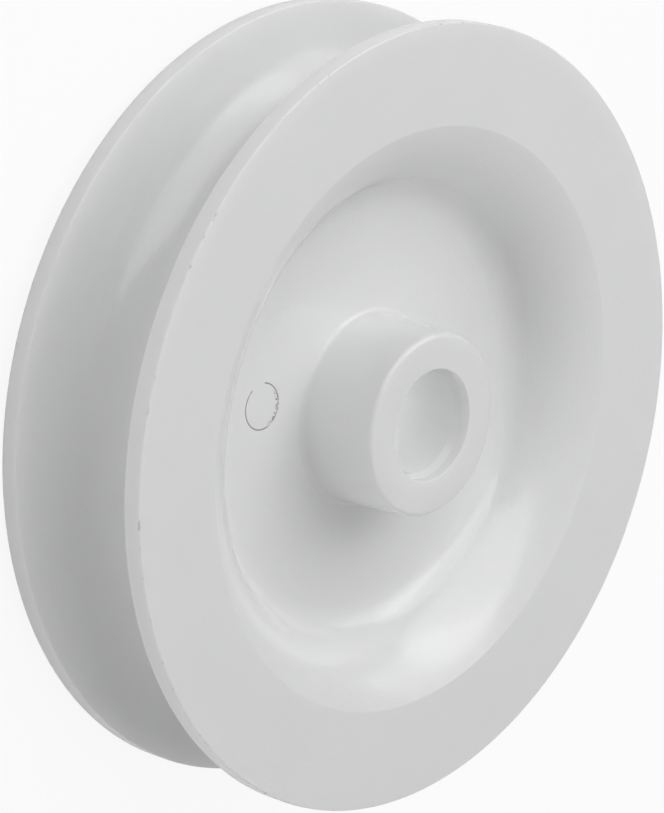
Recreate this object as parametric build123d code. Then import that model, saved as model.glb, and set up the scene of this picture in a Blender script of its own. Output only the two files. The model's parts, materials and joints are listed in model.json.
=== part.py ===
from build123d import *
import os
from math import cos, radians, sin, sqrt, tan

# Wire rope sheave, moulded in one piece: a wheel with a deep round-bottomed rope groove in
# its rim, a web dished in from both sides and a plain hub that stands a little proud of the
# rim. The axle runs in the bare bore of the hub.
#
# Millimetres. The wheel lies flat: its axis is Z, and the origin is the centre of the bore.
# The section is drawn with X as the radius and Y as the height, and is then turned about Z.

# Rim
RIM_DIAMETER = 150.0
RIM_WIDTH = 34.2
RIM_EDGE_RADIUS = 0.3  # outer corners of the rim's flat sides

# Rope groove
GROOVE_FLOOR_RADIUS = 13.3  # seats a 25 mm rope
GROOVE_DEPTH = 19.3
GROOVE_ANGLE = 1.5  # between the two flanks, in degrees: draft for the mould
GROOVE_LIP_RADIUS = 0.3  # where a flank meets the outside of the rim

# Dished sides and web
RIM_WALL_THICKNESS = 5.9  # least material between the groove's floor and the dish
DISH_WALL_RADIUS = 17.0  # round of the dish wall, in section
DISH_EDGE_RADIUS = 0.4
WEB_THICKNESS = 7.0

# Hub
HUB_DIAMETER = 35.0  # at its end faces
HUB_LENGTH = 40.2
HUB_DRAFT = 3.0  # degrees
HUB_EDGE_RADIUS = 1.0
HUB_FOOT_RADIUS = 1.2  # fillet between hub and web

# Bore
BORE_DIAMETER = 20.0
MOUTH_DIAMETER = 21.5  # short wide stretch at each end of the bore
MOUTH_DEPTH = 2.0
MOUTH_CONE_LENGTH = 1.3  # from the wide stretch down to the bore

rim_radius = RIM_DIAMETER / 2
rim_half = RIM_WIDTH / 2
web_half = WEB_THICKNESS / 2
hub_radius = HUB_DIAMETER / 2
hub_half = HUB_LENGTH / 2
flank_slope = tan(radians(GROOVE_ANGLE / 2))
groove_floor_center = rim_radius - GROOVE_DEPTH + GROOVE_FLOOR_RADIUS

# The dish wall is an arc that starts flat on the web and keeps its distance from the groove
dish_center_height = web_half + DISH_WALL_RADIUS
dish_center_radius = groove_floor_center - sqrt(
    (GROOVE_FLOOR_RADIUS + RIM_WALL_THICKNESS + DISH_WALL_RADIUS) ** 2 - dish_center_height**2
)
dish_radius = dish_center_radius + sqrt(
    DISH_WALL_RADIUS**2 - max(dish_center_height - rim_half, 0) ** 2
)


def groove_half_width(radius):
    """Half the distance between the groove's flanks at this radius of the wheel."""
    at_floor_center = GROOVE_FLOOR_RADIUS / cos(radians(GROOVE_ANGLE / 2))
    return at_floor_center + (radius - groove_floor_center) * flank_slope


def hub_radius_at(height):
    """Outer radius of the drafted hub at this height from the mid-plane."""
    return hub_radius + (hub_half - height) * tan(radians(HUB_DRAFT))


def outline(*points):
    """A flat face through the given (radius, height) points."""
    return Polygon(*points, align=None)


def both_sides(side):
    """What lies on one side of the mid-plane, and its mirror image on the other."""
    return side + mirror(side, about=Plane.XZ)


def round_corners(section, radius, height, fillet_radius):
    """Round the section's two corners at this radius and this far from the mid-plane."""
    corners = [
        section.vertices().sort_by_distance((radius, side * height, 0))[0] for side in (1, -1)
    ]
    return fillet(corners, fillet_radius)


def groove_section():
    """The rope groove: a round floor between steep, straight flanks."""
    half_angle = radians(GROOVE_ANGLE / 2)
    floor = Pos(groove_floor_center, 0) * Circle(GROOVE_FLOOR_RADIUS)
    flank_start = groove_floor_center - GROOVE_FLOOR_RADIUS * sin(half_angle)
    inner = GROOVE_FLOOR_RADIUS * cos(half_angle)
    outer = groove_half_width(rim_radius)
    flanks = outline(
        (flank_start, inner), (rim_radius, outer), (rim_radius, -outer), (flank_start, -inner)
    )
    return floor + flanks


def dish_section():
    """The hollow in the wheel's upper side: over the flat web, then up a rounded wall."""
    wall_reach = dish_center_radius + DISH_WALL_RADIUS
    top = dish_center_height + rim_half
    over_web = outline(
        (0, web_half), (dish_center_radius, web_half), (dish_center_radius, top), (0, top)
    )
    over_wall = outline(
        (0, dish_center_height), (wall_reach, dish_center_height), (wall_reach, top), (0, top)
    )
    wall = Pos(dish_center_radius, dish_center_height) * Circle(DISH_WALL_RADIUS)
    return over_web + wall + over_wall


def hub_section():
    """The hub's upper half, drafted for the mould, down to the mid-plane."""
    return outline((0, 0), (hub_radius_at(0), 0), (hub_radius, hub_half), (0, hub_half))


def bore_section():
    """The bore's upper half: the running bore, a short cone and the wide mouth."""
    bore_radius = BORE_DIAMETER / 2
    mouth_radius = MOUTH_DIAMETER / 2
    mouth_floor = hub_half - MOUTH_DEPTH
    return outline(
        (0, 0),
        (bore_radius, 0),
        (bore_radius, mouth_floor - MOUTH_CONE_LENGTH),
        (mouth_radius, mouth_floor),
        (mouth_radius, hub_half),
        (0, hub_half),
    )


def wheel_section():
    """The whole section from the axis to the rim, with its rounds and fillets."""
    section = outline(
        (0, -rim_half), (rim_radius, -rim_half), (rim_radius, rim_half), (0, rim_half)
    )
    section = section - both_sides(dish_section()) - groove_section()
    section = round_corners(
        section, rim_radius, groove_half_width(rim_radius), GROOVE_LIP_RADIUS
    )
    section = round_corners(section, rim_radius, rim_half, RIM_EDGE_RADIUS)
    section = round_corners(section, dish_radius, rim_half, DISH_EDGE_RADIUS)
    section = section + both_sides(hub_section())
    section = round_corners(section, hub_radius_at(web_half), web_half, HUB_FOOT_RADIUS)
    section = round_corners(section, hub_radius, hub_half, HUB_EDGE_RADIUS)
    return section - both_sides(bore_section())


def sheave():
    """The section turned once round the axis."""
    return revolve(Plane.XZ * wheel_section(), axis=Axis.Z)


os.makedirs("parts", exist_ok=True)
export_step(sheave(), "parts/sheave.step")
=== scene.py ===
"""Looks of a moulded wire rope sheave: its fine mesh, its translucent plastic and a plain studio."""
import json
from math import ceil, cos, pi, radians, sin, tan

import bmesh
import bpy
from bpy.props import FloatProperty, FloatVectorProperty, IntProperty, PointerProperty
from mathutils import Matrix, Vector


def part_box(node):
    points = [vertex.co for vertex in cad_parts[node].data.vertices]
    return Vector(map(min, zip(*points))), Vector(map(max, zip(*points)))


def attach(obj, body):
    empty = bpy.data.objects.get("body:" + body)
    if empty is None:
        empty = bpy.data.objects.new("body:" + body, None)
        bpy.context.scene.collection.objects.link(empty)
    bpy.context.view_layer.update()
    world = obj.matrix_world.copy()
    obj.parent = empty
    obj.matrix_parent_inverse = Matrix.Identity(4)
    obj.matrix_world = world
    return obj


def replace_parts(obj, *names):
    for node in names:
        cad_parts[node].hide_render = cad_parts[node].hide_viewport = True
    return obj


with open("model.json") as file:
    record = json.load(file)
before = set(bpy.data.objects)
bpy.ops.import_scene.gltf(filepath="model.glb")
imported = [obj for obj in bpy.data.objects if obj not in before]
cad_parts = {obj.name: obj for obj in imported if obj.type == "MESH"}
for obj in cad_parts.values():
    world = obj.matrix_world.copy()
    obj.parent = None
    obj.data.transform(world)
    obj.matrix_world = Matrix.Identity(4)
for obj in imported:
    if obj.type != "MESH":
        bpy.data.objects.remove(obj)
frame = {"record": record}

bl_info = {
    "name": "Wire Rope Sheave",
    "version": (1, 0, 0),
    "blender": (4, 5, 0),
    "location": "3D View > Sidebar > Sheave",
    "description": "Moulds a rope sheave, finishes its plastic and sets up a plain studio",
    "category": "Object",
}

MM = 0.001
TOUCHING = 0.001 * MM  # points this close are one point
FLOOR_GAP = 0.05 * MM  # keeps the floor's face clear of the hub's end
GLOW_GAP = 0.5 * MM  # from the wheel's lowest face up to the lamp under the bore
NODE = "sheave"
BODY = "root"

LOWEST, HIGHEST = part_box(NODE)
BORE = next(m for m in frame["record"]["mounts"] if m["kind"] == "bore")
BORE_RADIUS = BORE["dims"]["r_mm"] * MM
BORE_LENGTH = BORE["dims"]["length_mm"] * MM


# Sizes and settings


def length(name, default_mm, description):
    """A length property whose default is given in millimetres."""
    return FloatProperty(
        name=name,
        description=description,
        default=default_mm * MM,
        min=0.0,
        precision=5,
        unit="LENGTH",
        subtype="DISTANCE",
    )


def angle(name, default_degrees, description):
    """An angle property whose default is given in degrees."""
    return FloatProperty(
        name=name, description=description, default=radians(default_degrees), subtype="ANGLE"
    )


def share(name, default, description):
    """A property between nothing and all."""
    return FloatProperty(
        name=name, description=description, default=default, min=0.0, max=1.0, subtype="FACTOR"
    )


def colour(name, default, description):
    """A colour property."""
    return FloatVectorProperty(
        name=name,
        description=description,
        default=default,
        min=0.0,
        max=1.0,
        size=3,
        subtype="COLOR",
    )


def number(name, default, description):
    """A plain number from nothing upwards."""
    return FloatProperty(name=name, description=description, default=default, min=0.0)


class WheelSizes(bpy.types.PropertyGroup):
    """The section of the wheel. Its diameter, height and bore come from the frame."""

    rim_width: length("Rim width", 34.2, "From one flat side of the rim to the other")
    rim_edge: length("Rim edge round", 0.3, "Round of the rim's outer corners")
    groove_floor: length("Groove floor round", 13.3, "Round of the groove's floor")
    groove_depth: length("Groove depth", 19.3, "From the rim down to the groove's floor")
    groove_angle: angle("Groove angle", 1.5, "Between the groove's two flanks")
    groove_lip: length("Groove lip round", 0.3, "Round between flank and rim")
    dish_diameter: length("Dish diameter", 111.7, "At the dish's edge")
    wall_slope: angle("Wall slope", 62, "Of the dish wall above its foot")
    wall_foot: length("Wall foot round", 6.5, "Where the dish wall meets the web")
    crown_slope: angle("Crown slope", 20, "Of the dish wall at the dish's edge")
    crown_reach: length("Crown reach", 8.2, "From the dish's edge to the crown's corner")
    crown: length("Crown round", 21, "Round of the crown")
    dish_edge: length("Dish edge round", 0.4, "Round of the dish's edge")
    web_thickness: length("Web thickness", 7.0, "Between the floors of the two dishes")
    hub_diameter: length("Hub diameter", 35.0, "At the hub's ends")
    hub_draft: angle("Hub draft", 3.0, "Slope of the hub's side")
    hub_edge: length("Hub edge round", 1.0, "Round of the hub's end")
    hub_foot: length("Hub foot round", 1.2, "Fillet between hub and web")
    mouth_diameter: length("Mouth diameter", 21.5, "Wide stretch at each end of the bore")
    mouth_depth: length("Mouth depth", 2.0, "Depth of that stretch")
    edge_break: length("Edge break", 0.15, "Round of the bore's edges")
    facets: IntProperty(name="Facets", description="Steps round the wheel", default=240, min=24)


# Section of the wheel


def floor_center(sizes):
    """Radius of the wheel at which the round of the groove's floor has its center."""
    return HIGHEST.x - sizes.groove_depth + sizes.groove_floor


def flank_half_width(sizes, radius):
    """Half the distance between the groove's flanks at this radius of the wheel."""
    slope = tan(sizes.groove_angle / 2)
    at_center = sizes.groove_floor / cos(sizes.groove_angle / 2)
    return at_center + (radius - floor_center(sizes)) * slope


def dish_wall_corners(sizes):
    """The corners of the dish wall: its foot on the web, its crown and the dish's edge."""
    web_half = sizes.web_thickness / 2
    edge = Vector((sizes.dish_diameter / 2, sizes.rim_width / 2))
    crown = edge - sizes.crown_reach * Vector((cos(sizes.crown_slope), sin(sizes.crown_slope)))
    foot = crown.x - (crown.y - web_half) / tan(sizes.wall_slope)
    return (foot, web_half), crown, edge


def section_corners(sizes):
    """The upper half of the section, from the bore's middle out to the groove's floor.

    Each row is a radius, a height and the round of that corner.
    """
    rim, hub_half = HIGHEST.x, HIGHEST.z
    rim_half = sizes.rim_width / 2
    web_half = sizes.web_thickness / 2
    hub = sizes.hub_diameter / 2
    hub_foot = hub + (hub_half - web_half) * tan(sizes.hub_draft)
    mouth = sizes.mouth_diameter / 2
    foot, crown, dish_edge = dish_wall_corners(sizes)
    floor = rim - sizes.groove_depth
    return [
        (BORE_RADIUS, 0, 0),
        (BORE_RADIUS, BORE_LENGTH / 2, sizes.edge_break),
        (mouth, hub_half - sizes.mouth_depth, sizes.edge_break),
        (mouth, hub_half, sizes.edge_break),
        (hub, hub_half, sizes.hub_edge),
        (hub_foot, web_half, sizes.hub_foot),
        (*foot, sizes.wall_foot),
        (*crown, sizes.crown),
        (*dish_edge, sizes.dish_edge),
        (rim, rim_half, sizes.rim_edge),
        (rim, flank_half_width(sizes, rim), sizes.groove_lip),
        (floor, flank_half_width(sizes, floor), sizes.groove_floor),
        (floor, 0, 0),
    ]


class SectionPen:
    """Draws a section as a wire in the XZ plane, from straight runs and true arcs."""

    def __init__(self, mesh, start, longest_run, finest_turn):
        self.mesh = mesh
        self.tip = mesh.verts.new((start.x, 0, start.y))
        self.longest_run = longest_run
        self.finest_turn = finest_turn

    def line_to(self, point):
        """A straight run to the point, in steps no longer than the longest run."""
        target = Vector((point.x, 0, point.y))
        step = target - self.tip.co
        if step.length < TOUCHING:
            return
        count = ceil(step.length / self.longest_run)
        for _ in range(count):
            made = bmesh.ops.extrude_vert_indiv(self.mesh, verts=[self.tip])
            bmesh.ops.translate(self.mesh, verts=made["verts"], vec=step / count)
            self.tip = made["verts"][0]

    def arc(self, center, turn):
        """An arc about the center, by that angle from X towards Z."""
        reach = (Vector((center.x, 0, center.y)) - self.tip.co).length
        by_turn = abs(turn) / self.finest_turn
        by_run = abs(turn) * reach / (0.5 * self.longest_run)
        made = bmesh.ops.spin(
            self.mesh,
            geom=[self.tip],
            cent=(center.x, 0, center.y),
            axis=(0, -1, 0),
            angle=turn,
            steps=max(4, ceil(min(by_turn, by_run))),
        )
        self.tip = next(g for g in made["geom_last"] if isinstance(g, bmesh.types.BMVert))

    def corner(self, corner, following, radius):
        """On towards the corner, and round it towards the following point."""
        before = (Vector((self.tip.co.x, self.tip.co.z)) - corner).normalized()
        after = (following - corner).normalized()
        turn = pi - before.angle(after)
        reach = radius * tan(turn / 2)
        center = corner + (before + after).normalized() * (radius / cos(turn / 2))
        self.line_to(corner + before * reach)
        left = before.cross(after) < 0
        self.arc(center, turn if left else -turn)


def draw_section(mesh, sizes):
    """The whole section, from its upper half and that half's mirror image."""
    rows = section_corners(sizes)
    points = [Vector(row[:2]) for row in rows]
    pen = SectionPen(mesh, points[0], longest_run=3.2 * MM, finest_turn=radians(9))
    for (_, _, radius), point, following in zip(rows[1:-1], points[1:-1], points[2:]):
        pen.corner(point, following, radius)
    pen.line_to(points[-1])
    upper = mesh.verts[:] + mesh.edges[:]
    bmesh.ops.mirror(mesh, geom=upper, axis="Z", merge_dist=TOUCHING)
    bmesh.ops.remove_doubles(mesh, verts=mesh.verts[:], dist=TOUCHING)


def turn_section(mesh, facets):
    """Turn the section once round the wheel's axis, with its faces outwards."""
    bmesh.ops.spin(
        mesh,
        geom=mesh.verts[:] + mesh.edges[:],
        cent=(0, 0, 0),
        axis=(0, 0, 1),
        angle=2 * pi,
        steps=facets,
        use_merge=True,
    )
    bmesh.ops.remove_doubles(mesh, verts=mesh.verts[:], dist=TOUCHING)
    bmesh.ops.recalc_face_normals(mesh, faces=mesh.faces[:])
    for face in mesh.faces:
        face.smooth = True


def finished_piece(name, mesh, material):
    """A mesh object at the origin that rides with the wheel and takes its finish."""
    data = bpy.data.meshes.new(name)
    mesh.to_mesh(data)
    mesh.free()
    data.materials.append(material)
    piece = bpy.data.objects.new(name, data)
    bpy.context.scene.collection.objects.link(piece)
    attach(piece, BODY)
    return piece


class SHEAVE_OT_wheel(bpy.types.Operator):
    """Mould the wheel: its section, turned once round the bore"""

    bl_idname = "sheave.wheel"
    bl_label = "Wheel"

    def execute(self, context):
        sizes = context.scene.wheel_sizes
        mesh = bmesh.new()
        draw_section(mesh, sizes)
        turn_section(mesh, sizes.facets)
        plastic = moulded_plastic(context.scene.plastic, context.scene.marks, sizes)
        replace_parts(finished_piece("moulded_wheel", mesh, plastic), NODE)
        return {"FINISHED"}


# Finish


class ShaderValue:
    """A node's output. Python's operators on it add the Math nodes that they stand for."""

    def __init__(self, shader, socket):
        self.shader = shader
        self.socket = socket

    def output(self, name):
        """Another output of the same node."""
        return ShaderValue(self.shader, self.socket.node.outputs[name])

    def math(self, operation, *values, **settings):
        """The Math node with this operation, on these values."""
        settings["operation"] = operation
        return self.shader.node("ShaderNodeMath", settings, *values)

    def clamped(self):
        """This value, held between 0 and 1."""
        return self.math("ADD", self, 0.0, use_clamp=True)

    def root(self):
        """The square root of this value."""
        return self.math("SQRT", self)

    def __add__(self, other):
        return self.math("ADD", self, other)

    def __sub__(self, other):
        return self.math("SUBTRACT", self, other)

    def __rsub__(self, other):
        return self.math("SUBTRACT", other, self)

    def __mul__(self, other):
        return self.math("MULTIPLY", self, other)

    def __truediv__(self, other):
        return self.math("DIVIDE", self, other)

    def __rtruediv__(self, other):
        return self.math("DIVIDE", other, self)

    def __lt__(self, other):
        return self.math("LESS_THAN", self, other)

    def __gt__(self, other):
        return self.math("GREATER_THAN", self, other)

    def __abs__(self):
        return self.math("ABSOLUTE", self)

    __radd__ = __add__
    __rmul__ = __mul__


class Shader:
    """The nodes of a material or a world, and one way to add any of them."""

    def __init__(self, owner):
        owner.use_nodes = True
        self.tree = owner.node_tree
        self.tree.nodes.clear()

    def node(self, kind, settings, *values, **named_values):
        """Add a node: its settings first, then its inputs, in order or by name."""
        node = self.tree.nodes.new(kind)
        for key, value in settings.items():
            setattr(node, key, value)
        inputs = [socket for socket in node.inputs if socket.enabled]
        names = {socket.name.replace(" ", "_").lower(): socket for socket in inputs}
        pairs = list(zip(inputs, values))
        pairs += [(names[key], value) for key, value in named_values.items()]
        for socket, value in pairs:
            if isinstance(value, ShaderValue):
                self.tree.links.new(value.socket, socket)
            else:
                socket.default_value = value
        outputs = [socket for socket in node.outputs if socket.enabled]
        return ShaderValue(self, outputs[0]) if outputs else None

    def mix_colors(self, share_of_second, first, second):
        """The first colour, with that share of the second one in it."""
        settings = {"data_type": "RGBA"}
        return self.node("ShaderNodeMix", settings, share_of_second, first, second)

    def place(self):
        """The point of the piece in its own metres, and its X, Y and Z."""
        place = self.node("ShaderNodeTexCoord", {}).output("Object")
        parts = self.node("ShaderNodeSeparateXYZ", {}, place)
        return place, *(parts.output(axis) for axis in "XYZ")

    def noise(self, vector, scale, detail=2.0, roughness=0.5):
        """Smooth noise about a half, with features one over the scale across."""
        return self.node(
            "ShaderNodeTexNoise", {}, vector, scale=scale, detail=detail, roughness=roughness
        )


def reach(across, along):
    """Length of the straight way with these two legs."""
    return (across * across + along * along).root()


def turning_streaks(shader, x, y, z, settings):
    """Noise drawn out round the axis, like the fine marks that turning leaves."""
    radius = reach(x, y)
    slow = settings.streak_width / settings.streak_length
    around = shader.node(
        "ShaderNodeCombineXYZ", {}, x / radius * slow, y / radius * slow, radius + abs(z)
    )
    return shader.noise(around, 1 / settings.streak_width, detail=3.0)


def ring_line(shader, place, x, y, z, marks, sizes):
    """The ejector pin's round line on the web: its shallow cut, and its dirt.

    The line fades out on one side. On another the dirt breaks up into a band of specks.
    """
    center = direction(marks.ring_angle, 0) * marks.ring_distance
    across = x - center.x
    along = y - center.y
    from_center = reach(across, along)
    beside = from_center - marks.ring_diameter / 2
    on_web = abs(z - sizes.web_thickness / 2) < 0.3 * MM

    def towards(angle):
        """1 on this side of the mark, 0 a quarter turn from there and -1 across from it."""
        side = direction(angle, 0)
        return (across * side.x + along * side.y) / from_center

    closed = ((cos(marks.gap_width / 2) - towards(marks.gap_angle)) * 25).clamped()
    cut = (1.2 - abs(beside) / marks.ring_line).clamped() * on_web * closed
    patches = shader.noise(place, 350.0)
    dirty_side = (towards(marks.dirt_angle) * 3 - 1.5).clamped()
    line = cut * ((patches - 0.3) * 4 + 0.5 - dirty_side * 0.6).clamped()
    crumbs = shader.noise(place, 3200.0, detail=1.0)
    band = (1.6 - abs(beside + marks.dirt_width * 0.3) / marks.dirt_width * 2.4).clamped() * on_web
    specks = band * dirty_side * ((crumbs - 0.5) * 12).clamped()
    return cut, line.math("MAXIMUM", line, specks)


def edge_nicks(shader, place, x, y, z, settings, sizes):
    """Small knocks along the rim's outer corners."""
    from_corner = reach(reach(x, y) - HIGHEST.x, abs(z) - sizes.rim_width / 2)
    knocks = shader.noise(place, 420.0, detail=4.0, roughness=0.7)
    return (1.4 - from_corner / settings.nick_size).clamped() * ((knocks - 0.57) * 12).clamped()


def moulded_plastic(settings, marks, sizes):
    """Natural white plastic: milky, satin, with light that sinks in a little."""
    material = bpy.data.materials.new("moulded_plastic")
    shader = Shader(material)
    place, x, y, z = shader.place()
    clouds = shader.noise(place, settings.cloud_scale, detail=3.0)
    streaks = turning_streaks(shader, x, y, z, settings)
    cut, dirt = ring_line(shader, place, x, y, z, marks, sizes)
    nicks = edge_nicks(shader, place, x, y, z, settings, sizes)
    deep = tuple(settings.color[i] * (1 - settings.cloudiness) for i in range(3))
    color = shader.mix_colors(clouds, (*deep, 1), (*settings.color, 1))
    color = shader.mix_colors(dirt * marks.dirt_share, color, (*marks.dirt_color, 1))
    # Every nick is darkened towards the dirt colour by the nick darkening share.
    color = shader.mix_colors(nicks * settings.nick_dirt, color, (*marks.dirt_color, 1))
    height = streaks * settings.streak_depth - cut * marks.ring_cut - nicks * settings.nick_depth
    surface = shader.node(
        "ShaderNodeBsdfPrincipled",
        {"subsurface_method": "BURLEY"},
        base_color=color,
        roughness=settings.roughness + (streaks - 0.5) * settings.streak_gloss,
        ior=settings.bending,
        specular_ior_level=settings.shine,
        normal=shader.node("ShaderNodeBump", {}, strength=1.0, distance=1.0, height=height),
        subsurface_weight=settings.depth_share,
        subsurface_radius=settings.depth_by_color,
        subsurface_scale=settings.depth,
    )
    shader.node("ShaderNodeOutputMaterial", {}, surface)
    return material


class PlasticFinish(bpy.types.PropertyGroup):
    """The plastic of the whole wheel."""

    color: colour("Colour", (0.86, 0.863, 0.864), "Colour of the plastic")
    cloud_scale: number("Cloud scale", 60, "Soft patches of colour per metre")
    cloudiness: share("Cloudiness", 0.03, "How much the colour changes in soft patches")
    roughness: share("Roughness", 0.16, "How dull the moulded skin is")
    bending: number("Refractive index", 1.5, "How strongly the skin bends light")
    shine: number("Shine", 0.8, "Strength of the reflections straight on, where 0.5 is plain")
    depth_share: share("Milkiness", 0.4, "Share of the light that sinks into the plastic")
    depth: length("Depth of light", 3.0, "How far light spreads inside the plastic")
    depth_by_color: colour("Depth by colour", (1.0, 1.0, 0.96), "How far each colour spreads")
    streak_width: length("Streak width", 0.7, "Across one turning streak")
    streak_length: length("Streak length", 30, "Along one turning streak")
    streak_depth: length("Streak depth", 0.035, "Depth of the turning streaks")
    streak_gloss: share("Streak gloss", 0.14, "How much the streaks change the roughness")
    nick_size: length("Nick size", 0.25, "Reach of the nicks on the rim's corners")
    nick_depth: length("Nick depth", 0.1, "Depth of the nicks")
    # Share by which every nick is darkened towards the dirt colour.
    nick_dirt: share("Darkening in nicks", 0.36, "How far the nicks are darkened towards the dirt colour")


class SmallMarks(bpy.types.PropertyGroup):
    """The ejector pin's mark on the web, and dirt."""

    ring_distance: length("Ring distance", 29.7, "From the axis to the middle of the mark")
    ring_angle: angle("Ring angle", 279.5, "Where the mark lies round the axis")
    ring_diameter: length("Ring diameter", 8.8, "Across the mark")
    ring_line: length("Ring line", 0.15, "Half the width of the mark's line")
    ring_cut: length("Ring cut", 0.04, "Depth of the mark's line")
    gap_angle: angle("Gap side", 216, "Where the mark's line fades out")
    gap_width: angle("Gap width", 40, "Length of that stretch")
    dirt_angle: angle("Dirt side", 98, "The side of the mark that holds most dirt")
    dirt_width: length("Dirt width", 0.9, "Width of the dirty band inside the line")
    dirt_color: colour("Dirt colour", (0.17, 0.09, 0.04), "Colour of the dirt")
    dirt_share: share("Dirt share", 0.9, "How well the dirt covers")


# Studio


class StudioSettings(bpy.types.PropertyGroup):
    """Floor, lights and camera. A lamp's level is how bright its face is, and 1 is white."""

    floor_size: length("Floor size", 4000, "Side of the square floor")
    floor_color: colour("Floor colour", (0.9, 0.9, 0.9), "Colour of the floor")
    shadow_share: share("Shadow share", 0.1, "How much of the wheel's shadow the floor shows")
    reflected_white: share("White in reflections", 0.35, "How white the room is in reflections")
    room_level: number("Room light", 0.12, "Even light from all round")
    key_level: number("Key light", 1.19, "The large softbox on the left")
    side_level: number("Side light", 0.85, "The smaller softbox beside the key light")
    near_level: number("Near fill", 1.15, "The low lamp beside the camera")
    far_level: number("Far fill", 1.3, "The low lamp across from the camera")
    top_level: number("Top light", 0.85, "The softbox overhead")
    through_level: number("Light through the bore", 2.3, "The small lamp under the bore")
    camera_azimuth: angle("Camera azimuth", 0.0, "0 looks along Y")
    camera_elevation: angle("Camera elevation", 39.27, "How far the camera looks down")
    camera_roll: angle("Camera roll", 105.17, "Turn of the camera about its own axis")
    camera_aim: FloatVectorProperty(
        name="Aim",
        description="The point that the camera looks at",
        default=(1.534 * MM, -2.192 * MM, -2.681 * MM),
        precision=5,
        unit="LENGTH",
        subtype="XYZ_LENGTH",
    )
    camera_distance: length("Camera distance", 727.9, "From the aim to the camera")
    camera_lens: FloatProperty(
        name="Lens", description="Focal length", default=170.14, min=1.0, subtype="DISTANCE_CAMERA"
    )


def direction(azimuth, elevation):
    """The unit vector at this azimuth from X towards Y, and this height over the floor."""
    return Vector((cos(elevation) * cos(azimuth), cos(elevation) * sin(azimuth), sin(elevation)))


def lamp(name, size, level, place):
    """A rectangular lamp, as bright as the level says, that the camera doesn't see."""
    data = bpy.data.lights.new(name, "AREA")
    data.shape = "RECTANGLE"
    data.size, data.size_y = size
    data.energy = level * pi * data.size * data.size_y
    light = bpy.data.objects.new(name, data)
    light.matrix_world = place
    light.visible_camera = False
    bpy.context.scene.collection.objects.link(light)
    return light


def softbox(name, azimuth, elevation, size, level):
    """A lamp one metre away in this direction, in degrees, that faces the wheel."""
    towards = direction(radians(azimuth), radians(elevation))
    turn = towards.to_track_quat("Z", "Y").to_matrix().to_4x4()
    return lamp(name, size, level, Matrix.Translation(towards) @ turn)


def fill(*placing):
    """A softbox that doesn't show in reflections."""
    softbox(*placing).visible_glossy = False


def set_up_lamps(settings):
    """The key light, its neighbour, weaker fills and a glow that shines up through the bore."""
    softbox("key", 196, 40, (1.5, 0.95), settings.key_level)
    softbox("side", 150, 42, (0.7, 0.7), settings.side_level)
    fill("near_fill", 315, 13, (1.2, 0.42), settings.near_level)
    fill("far_fill", 45, 13, (1.2, 0.42), settings.far_level)
    fill("top", 200, 85, (1.2, 1.2), settings.top_level)
    under_bore = Matrix.Translation((0, 0, LOWEST.z + GLOW_GAP)) @ Matrix.Rotation(pi, 4, "X")
    glow = lamp("through_bore", (1.8 * BORE_RADIUS,) * 2, settings.through_level, under_bore)
    glow.visible_glossy = False


def white_to_the_eye(shader, lit, share_of_white, settings):
    """Plain white for the camera, part of it in reflections, and the lit surface elsewhere."""
    path = shader.node("ShaderNodeLightPath", {})
    reflected = path.output("Is Glossy Ray") * settings.reflected_white
    seen = path + reflected + path.output("Is Transmission Ray")
    seen = seen.math("MINIMUM", seen, share_of_white)
    white = shader.node("ShaderNodeEmission", {}, (1, 1, 1, 1), 1.0)
    return shader.node("ShaderNodeMixShader", {}, seen, lit, white)


def set_up_room(settings):
    """Even light all round, in front of a white background."""
    world = bpy.data.worlds.new("room")
    shader = Shader(world)
    room = shader.node("ShaderNodeBackground", {}, (1, 1, 1, 1), settings.room_level)
    shader.node("ShaderNodeOutputWorld", {}, white_to_the_eye(shader, room, 1.0, settings))
    bpy.context.scene.world = world


def set_up_floor(settings):
    """A pale floor that the wheel lies on."""
    paint = bpy.data.materials.new("floor_paint")
    shader = Shader(paint)
    lit = shader.node("ShaderNodeBsdfDiffuse", {}, (*settings.floor_color, 1))
    look = white_to_the_eye(shader, lit, 1 - settings.shadow_share, settings)
    shader.node("ShaderNodeOutputMaterial", {}, look)
    mesh = bmesh.new()
    bmesh.ops.create_grid(mesh, x_segments=1, y_segments=1, size=settings.floor_size / 2)
    bmesh.ops.translate(mesh, verts=mesh.verts[:], vec=(0, 0, LOWEST.z - FLOOR_GAP))
    data = bpy.data.meshes.new("floor")
    mesh.to_mesh(data)
    mesh.free()
    data.materials.append(paint)
    floor = bpy.data.objects.new("floor", data)
    bpy.context.scene.collection.objects.link(floor)


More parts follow.
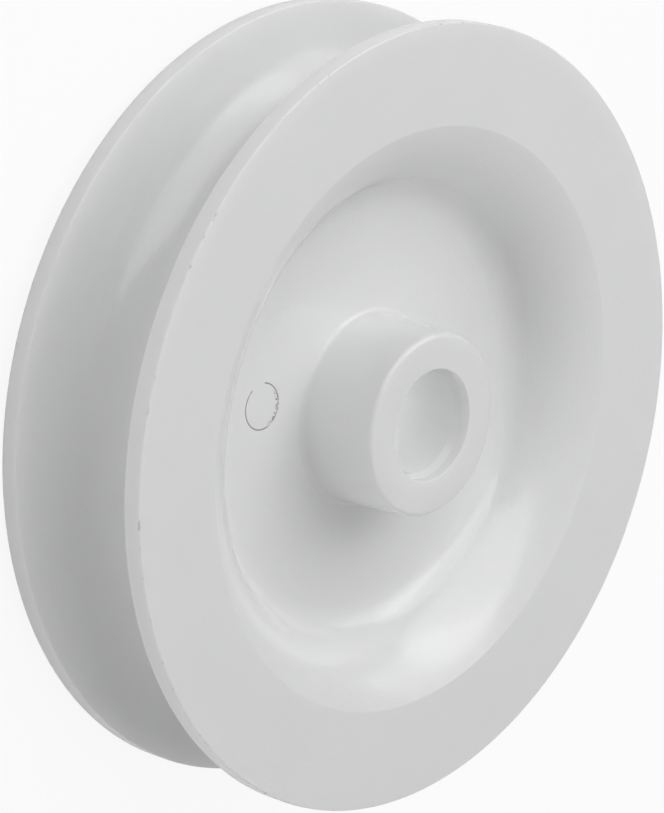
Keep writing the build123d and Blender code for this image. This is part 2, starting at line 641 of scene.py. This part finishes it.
def set_up_camera(settings):
    """The camera, which looks down on the wheel from the side."""
    data = bpy.data.cameras.new("camera")
    data.lens = settings.camera_lens
    camera = bpy.data.objects.new("camera", data)
    turn = (
        Matrix.Rotation(settings.camera_azimuth, 4, "Z")
        @ Matrix.Rotation(pi / 2 - settings.camera_elevation, 4, "X")
        @ Matrix.Rotation(settings.camera_roll, 4, "Z")
    )
    back = turn @ Vector((0, 0, settings.camera_distance))
    camera.matrix_world = Matrix.Translation(settings.camera_aim + back) @ turn
    bpy.context.scene.collection.objects.link(camera)
    bpy.context.scene.camera = camera


class SHEAVE_OT_studio(bpy.types.Operator):
    """Set up the floor, the soft lights and the camera"""

    bl_idname = "sheave.studio"
    bl_label = "Studio"

    def execute(self, context):
        settings = context.scene.studio
        set_up_floor(settings)
        set_up_room(settings)
        set_up_lamps(settings)
        set_up_camera(settings)
        context.scene.view_settings.view_transform = "Standard"
        return {"FINISHED"}


# Add-on


class SHEAVE_PT_panel(bpy.types.Panel):
    """The steps that make the sheave, in order"""

    bl_idname = "SHEAVE_PT_panel"
    bl_label = "Wire Rope Sheave"
    bl_space_type = "VIEW_3D"
    bl_region_type = "UI"
    bl_category = "Sheave"

    def draw(self, context):
        for step in STEPS:
            self.layout.operator(step.bl_idname)
        for name, group in GROUPS.items():
            box = self.layout.box()
            for value in group.__annotations__:
                box.prop(getattr(context.scene, name), value)


STEPS = (SHEAVE_OT_wheel, SHEAVE_OT_studio)
GROUPS = {
    "wheel_sizes": WheelSizes,
    "plastic": PlasticFinish,
    "marks": SmallMarks,
    "studio": StudioSettings,
}


def register():
    for group in (*GROUPS.values(), *STEPS, SHEAVE_PT_panel):
        bpy.utils.register_class(group)
    for name, group in GROUPS.items():
        setattr(bpy.types.Scene, name, PointerProperty(type=group))


def unregister():
    for name in GROUPS:
        delattr(bpy.types.Scene, name)
    for group in reversed((*GROUPS.values(), *STEPS, SHEAVE_PT_panel)):
        bpy.utils.unregister_class(group)


def main():
    """Make everything in order."""
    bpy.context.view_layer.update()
    register()
    bpy.ops.sheave.wheel()
    bpy.ops.sheave.studio()


if __name__ == "__main__":
    main()
